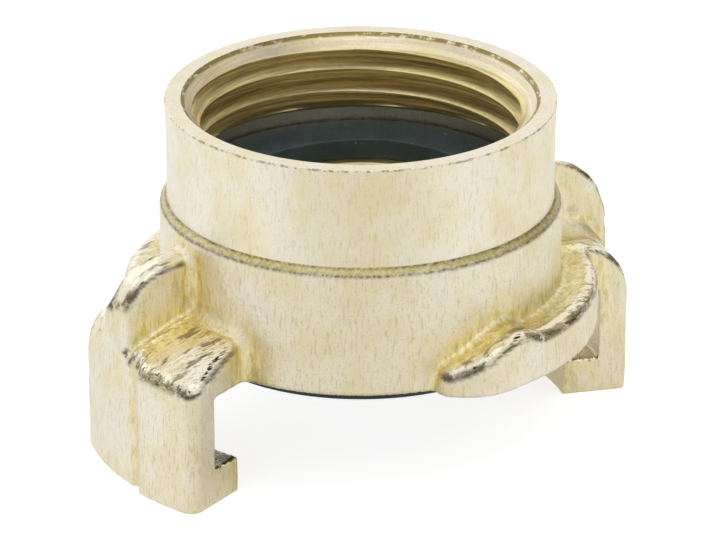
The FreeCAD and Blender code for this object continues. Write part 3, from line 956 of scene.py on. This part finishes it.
class Shading:
    """Nodes of a material or of the world, where an input is a number, a colour or another node's output."""

    def __init__(self, owner):
        owner.use_nodes = True
        self.nodes = owner.node_tree.nodes
        self.links = owner.node_tree.links

    def feed(self, socket, value):
        """Link an output to a socket, or set the socket to a number or a colour."""
        if isinstance(value, bpy.types.NodeSocket):
            self.links.new(value, socket)
        elif socket.type == "RGBA":
            socket.default_value = (*value, 1)
        else:
            socket.default_value = value

    def make(self, kind, inputs=None, **settings):
        """Make a node of a kind, with its settings and then its inputs by name or number."""
        node = self.nodes.new("ShaderNode" + kind)
        for name, value in settings.items():
            setattr(node, name, value)
        for key, value in (inputs or {}).items():
            self.feed(node.inputs[key], value)
        return node

    def place(self):
        """Point of the surface in the object's own frame."""
        return self.make("TexCoord").outputs["Object"]

    def attribute(self, name):
        """Mark that the mesh carries on its points."""
        return self.make("Attribute", attribute_name=name).outputs["Fac"]

    def stretched(self, vector, scale):
        """Point whose coordinates are scaled."""
        return self.make("Mapping", {"Vector": vector, "Scale": scale}).outputs["Vector"]

    def ramp(self, value, low, high, least=0.0, most=1.0):
        """Smooth rise from the least to the most, as the value goes from low to high."""
        inputs = {"Value": value, "From Min": low, "From Max": high, "To Min": least, "To Max": most}
        return self.make("MapRange", inputs, interpolation_type="SMOOTHSTEP").outputs["Result"]

    def noise(self, vector, pattern):
        """Noise of a pattern, before any share is made of it."""
        inputs = {"Scale": pattern.scale, "Detail": pattern.detail, "Roughness": pattern.roughness}
        return self.make("TexNoise", {"Vector": vector, **inputs}).outputs["Fac"]

    def spread(self, noise, pattern):
        """Share that a pattern makes of its noise."""
        return self.ramp(noise, pattern.low, pattern.high, pattern.least, pattern.most)

    def share(self, vector, pattern):
        """Share of a pattern at a point."""
        return self.spread(self.noise(vector, pattern), pattern)

    def maths(self, operation, first, second):
        """Sum, difference or other result of two numbers."""
        return self.make("Math", {0: first, 1: second}, operation=operation).outputs["Value"]

    def times(self, first, second):
        """Product of two numbers."""
        return self.maths("MULTIPLY", first, second)

    def mix(self, share, first, second, blend="MIX"):
        """First colour, with a share of the second over it."""
        inputs = {MIX_FACTOR: share, MIX_FIRST: first, MIX_SECOND: second}
        return self.make("Mix", inputs, data_type="RGBA", blend_type=blend).outputs[MIX_RESULT]

    def marked(self, colour, share, mark):
        """Colour with a mark over it."""
        return self.mix(self.times(share, mark.cover), colour, mark.colour)

    def bump(self, height, relief, after=None):
        """Normal that follows a height, over another bump where one is given."""
        distance, strength = relief
        inputs = {"Height": height, "Distance": distance * METRES, "Strength": strength}
        if after is not None:
            inputs["Normal"] = after
        return self.make("Bump", inputs).outputs["Normal"]

    def cosine_to(self, vector, azimuth, elevation=0.0):
        """Cosine of the angle between a unit vector and a fixed direction."""
        inputs = {0: vector, 1: direction_of(azimuth, elevation)}
        return self.make("VectorMath", inputs, operation="DOT_PRODUCT").outputs["Value"]


def new_material(name):
    """Material, its nodes and its shader's inputs."""
    material = bpy.data.materials.new(name)
    shading = Shading(material)
    return material, shading, shading.nodes["Principled BSDF"].inputs


def pale_brass(shading, place, flecks):
    """Colour of blasted brass: pale clouds, upright streaks and darker specks."""
    upright = shading.stretched(place, STREAK_STRETCH)
    colour = shading.mix(shading.share(place, CLOUDS), PALE, CREAM)
    colour = shading.mix(shading.share(upright, STREAKS._replace(most=flecks)), colour, STREAK_BROWN)
    return shading.mix(shading.share(place, SPECKS._replace(most=flecks)), colour, SPECK_BROWN)


def forged_colour(shading, place, along, polish, hollow_reflection_and_pits, rough_skin):
    """Pale brass with a painted golden reflection and shade in its hollows, pits, painted dark reflection
    streaks on rubbed tops, painted dark reflection lines along edges, and the shoulder's seam with painted
    shade lines along its edges.
    """
    colour = pale_brass(shading, place, FORGED_FLECKS)
    # Painted golden reflection and shade in the hollows, broken up by bands and mottle
    reflection_bands = shading.share(shading.stretched(place, HOLLOW_REFLECTION_STRETCH), HOLLOW_REFLECTION_BANDS)
    hollow_reflection_colour = shading.mix(reflection_bands, HOLLOW_REFLECTION_LIGHT, HOLLOW_REFLECTION_DEEP)
    hollow_reflection_share = shading.maths("MINIMUM", shading.times(hollow_reflection_and_pits, shading.share(place, HOLLOW_REFLECTION_MOTTLE)), 1.0)
    colour = shading.mix(hollow_reflection_share, colour, hollow_reflection_colour)
    clusters = shading.maths("MAXIMUM", shading.share(place, PIT_CLUSTERS), hollow_reflection_and_pits)
    pits = shading.times(shading.times(shading.share(place, PITS), clusters), rough_skin)
    colour = shading.marked(colour, pits, PIT_MARK)
    # Painted dark reflection streaks on the rubbed tops
    colour = shading.marked(colour, shading.times(shading.share(along, DARK_REFLECTION_STREAKS), polish), DARK_REFLECTION_STREAK_MARK)
    seam_breaks = shading.share(place, SEAM_BREAKS)
    # The edge line is a painted dark reflection, and the seam's edge lines are painted shade and dark
    # reflection
    for name, breaks, mark in (
        ("dark_edge_reflection", shading.share(along, DARK_EDGE_REFLECTION_BREAKS), DARK_EDGE_REFLECTION_MARK),
        ("seam", seam_breaks, SEAM_MARK),
        ("shoulder_edge_shade", seam_breaks, SHOULDER_EDGE_SHADE_MARK),
    ):
        colour = shading.marked(colour, shading.times(shading.attribute(name), breaks), mark)
    return colour


def forged_brass():
    """Pale blasted brass with a fine grain, bright and smooth where it is rubbed."""
    material, shading, shader = new_material("forged_brass")
    shading.feed(shader["Metallic"], 1.0)
    place = shading.place()
    along = shading.stretched(place, RUBBING_STRETCH)
    polish = shading.attribute("polish")
    hollow_reflection_and_pits = shading.attribute("hollow_reflection_and_pits")
    rough_skin = shading.maths("SUBTRACT", 1.0, polish)
    colour = forged_colour(shading, place, along, polish, hollow_reflection_and_pits, rough_skin)
    shading.feed(shader["Base Color"], colour)

    grain = shading.noise(place, FORGED_GRAIN)
    rough = shading.spread(grain, FORGED_GRAIN)
    rough = shading.maths("SUBTRACT", rough, shading.times(polish, POLISH_GLOSS))
    shading.feed(shader["Roughness"], shading.maths("MAXIMUM", rough, LEAST_ROUGHNESS))

    depth = shading.maths("ADD", shading.times(rough_skin, 1 - RUBBED_GRAIN), RUBBED_GRAIN)
    normal = None
    for height, cover, relief in (
        (grain, depth, GRAIN_RELIEF),
        (shading.noise(place, FINE_GRAIN), depth, FINE_RELIEF),
        (shading.noise(shading.stretched(place, SKIN_STRETCH), SKIN_STREAKS), depth, STREAK_RELIEF),
        (shading.noise(along, RUBBING), polish, RUBBED_RELIEF),
    ):
        normal = shading.bump(shading.times(height, cover), relief, normal)
    shading.feed(shader["Normal"], normal)
    return material


def turned_brass():
    """Brass cut on a lathe: flecked like the forging outside, and finely ringed inside, where a painted shade
    and warm reflection make it golden and darker.
    """
    material, shading, shader = new_material("turned_brass")
    shading.feed(shader["Metallic"], 1.0)
    place = shading.place()
    around = shading.stretched(place, LATHE_STRETCH)
    rings = shading.noise(around, LATHE_RINGS)
    grain = shading.noise(place, TURNED_GRAIN)
    inside = shading.attribute("inside")
    # Painted shade and warm reflection of the bore
    bore_shade_colour = shading.mix(shading.share(around, LATHE_BANDS), BORE_SHADE_LIGHT, BORE_SHADE_DEEP)
    colour = shading.mix(inside, pale_brass(shading, place, TURNED_FLECKS), bore_shade_colour)
    dashes = shading.times(shading.attribute("rim_edge"), shading.share(place, RIM_DASHES))
    colour = shading.marked(colour, dashes, RIM_MARK)
    # Darker in patches along the top edge of the bore
    darkened_edge = shading.share(shading.stretched(place, BORE_EDGE_STRETCH), BORE_EDGE_DARKENING)
    darkened_edge = shading.times(shading.attribute("bore_edge"), darkened_edge)
    shading.feed(shader["Base Color"], shading.marked(colour, darkened_edge, BORE_EDGE_MARK))
    rough = shading.spread(grain, TURNED_GRAIN)
    rough = shading.maths("ADD", rough, shading.times(inside, BORE_ROUGHNESS))
    shading.feed(shader["Roughness"], rough)
    shading.feed(shader["Normal"], shading.bump(grain, TURNED_RELIEF, shading.bump(rings, RING_RELIEF)))
    return material


def rubber(name, kind):
    """Rubber with a faint bloom, and dust specks where its kind has them."""
    material, shading, shader = new_material(name)
    place = shading.place()
    colour = shading.mix(shading.share(place, RUBBER_CLOUDS), kind.dark, kind.pale)
    dust = shading.times(shading.share(place, RUBBER_DUST), kind.dust)
    shading.feed(shader["Base Color"], shading.mix(dust, colour, DUST_COLOUR))
    grain = shading.noise(place, RUBBER_GRAIN)
    smoothest = kind.roughness - RUBBER_ROUGHNESS_SWING
    roughest = kind.roughness + RUBBER_ROUGHNESS_SWING
    rough = shading.spread(grain, RUBBER_GRAIN._replace(least=smoothest, most=roughest))
    shading.feed(shader["Roughness"], rough)
    shading.feed(shader["Normal"], shading.bump(grain, RUBBER_RELIEF))
    return material


def make_camera():
    """Camera that looks at its target with the frame's upright kept upright."""
    data = bpy.data.cameras.new("camera")
    data.lens = CAMERA_LENS
    data.sensor_width = CAMERA_SENSOR
    data.clip_start = CAMERA_CLIP_START * METRES
    camera = bpy.data.objects.new("camera", data)
    bpy.context.scene.collection.objects.link(camera)
    back = direction_of(CAMERA_AZIMUTH, CAMERA_ELEVATION)
    camera.location = (Vector(CAMERA_TARGET) + back * CAMERA_DISTANCE) * METRES
    camera.rotation_mode = "QUATERNION"
    camera.rotation_quaternion = (-back).to_track_quat("-Z", "Y")
    bpy.context.scene.camera = camera


def room_colour(shading):
    """White room with its darker and brighter zones and the band over the horizon."""
    direction = shading.make("TexCoord").outputs["Generated"]
    room = WHITE
    for zone in ROOM_ZONES:
        outside = math.cos(math.radians(zone.half_width + zone.softness))
        inside = math.cos(math.radians(zone.half_width - zone.softness))
        share = shading.ramp(shading.cosine_to(direction, zone.azimuth, zone.elevation), outside, inside)
        room = shading.mix(share, room, zone.tint, "MULTIPLY")
    height = shading.make("SeparateXYZ", {0: direction}).outputs["Z"]
    band = shading.times(shading.ramp(height, *HORIZON_LOWER), shading.ramp(height, *HORIZON_UPPER))
    facing = shading.cosine_to(direction, HORIZON_AZIMUTH)
    band = shading.times(band, shading.ramp(facing, *HORIZON_BACK))
    return shading.mix(band, room, HORIZON_TINT, "MULTIPLY")


def make_world():
    """Plain soft light on the object, a white background, and the room for reflections."""
    world = bpy.data.worlds.new("studio")
    bpy.context.scene.world = world
    shading = Shading(world)
    path = shading.make("LightPath").outputs
    light = shading.nodes["Background"]
    shading.feed(light.inputs["Color"], LIGHT_COLOUR)
    shading.feed(light.inputs["Strength"], LIGHT_STRENGTH)
    shown = shading.mix(path["Is Camera Ray"], room_colour(shading), WHITE)
    seen = shading.make("Background", {"Color": shown, "Strength": 1.0})
    share = shading.maths("MAXIMUM", path["Is Camera Ray"], path["Is Glossy Ray"])
    share = shading.maths("MAXIMUM", share, path["Is Transmission Ray"])
    mixer = shading.make("MixShader", {0: share, 1: light.outputs[0], 2: seen.outputs[0]})
    shading.feed(shading.nodes["World Output"].inputs["Surface"], mixer.outputs[0])


def floor_tint(shading):
    """Colour that the floor shows in reflections, by the side of the object that it lies on."""
    outward = shading.make("VectorMath", {0: shading.place()}, operation="NORMALIZE").outputs["Vector"]
    tint = WHITE
    for azimuth, side_tint in FLOOR_TINTS:
        share = shading.ramp(shading.cosine_to(outward, azimuth), *FLOOR_TINT_RANGE)
        tint = shading.mix(share, tint, side_tint, "MULTIPLY")
    return tint


def make_floor():
    """White floor that keeps a faint soft shadow."""
    signs = ((-1, -1), (1, -1), (1, 1), (-1, 1))
    corners = [(x * FLOOR_REACH, y * FLOOR_REACH, FLOOR_HEIGHT) for x, y in signs]
    floor = mesh_object("floor", corners, [(0, 1, 2, 3)])
    material, shading, shader = new_material("floor_white")
    shading.feed(shader["Base Color"], FLOOR_COLOUR)
    shading.feed(shader["Roughness"], FLOOR_ROUGHNESS)
    shading.feed(shader["Specular IOR Level"], 0.0)
    path = shading.make("LightPath").outputs
    seen = shading.times(path["Is Camera Ray"], FLOOR_SEEN)
    reflected = shading.times(path["Is Glossy Ray"], FLOOR_REFLECTED)
    lift = shading.make("Emission", {
        "Color": shading.mix(path["Is Glossy Ray"], WHITE, floor_tint(shading)),
        "Strength": shading.maths("ADD", seen, reflected),
    })
    base = shading.nodes["Principled BSDF"]
    adder = shading.make("AddShader", {0: base.outputs[0], 1: lift.outputs[0]})
    shading.feed(shading.nodes["Material Output"].inputs["Surface"], adder.outputs[0])
    floor.data.materials.append(material)
    floor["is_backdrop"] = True


def dress(made, material, node):
    """Give a piece its material, hang it under the root body, and hide the solid that it stands for."""
    made.data.materials.append(material)
    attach(made, "root")
    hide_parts(node)


def main():
    """Build the pieces and their surroundings."""
    bpy.context.scene.view_settings.view_transform = "Standard"
    forged = forged_brass()
    turned = turned_brass()
    dress(make_forged_body(), forged, "brass_body")
    dress(make_turned_inside(), turned, "brass_body")
    dress(make_thread(), turned, "brass_body")
    dress(make_coupling_seal(), rubber("seal_black", SEAL_BLACK), "coupling_seal")
    dress(make_thread_gasket(), rubber("gasket_grey", GASKET_GREY), "thread_gasket")
    make_camera()
    make_world()
    make_floor()
    boxes = {"cad": cad_box, "visual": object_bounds()}
    {key: [list(corner) for corner in box] for key, box in boxes.items()}


main()
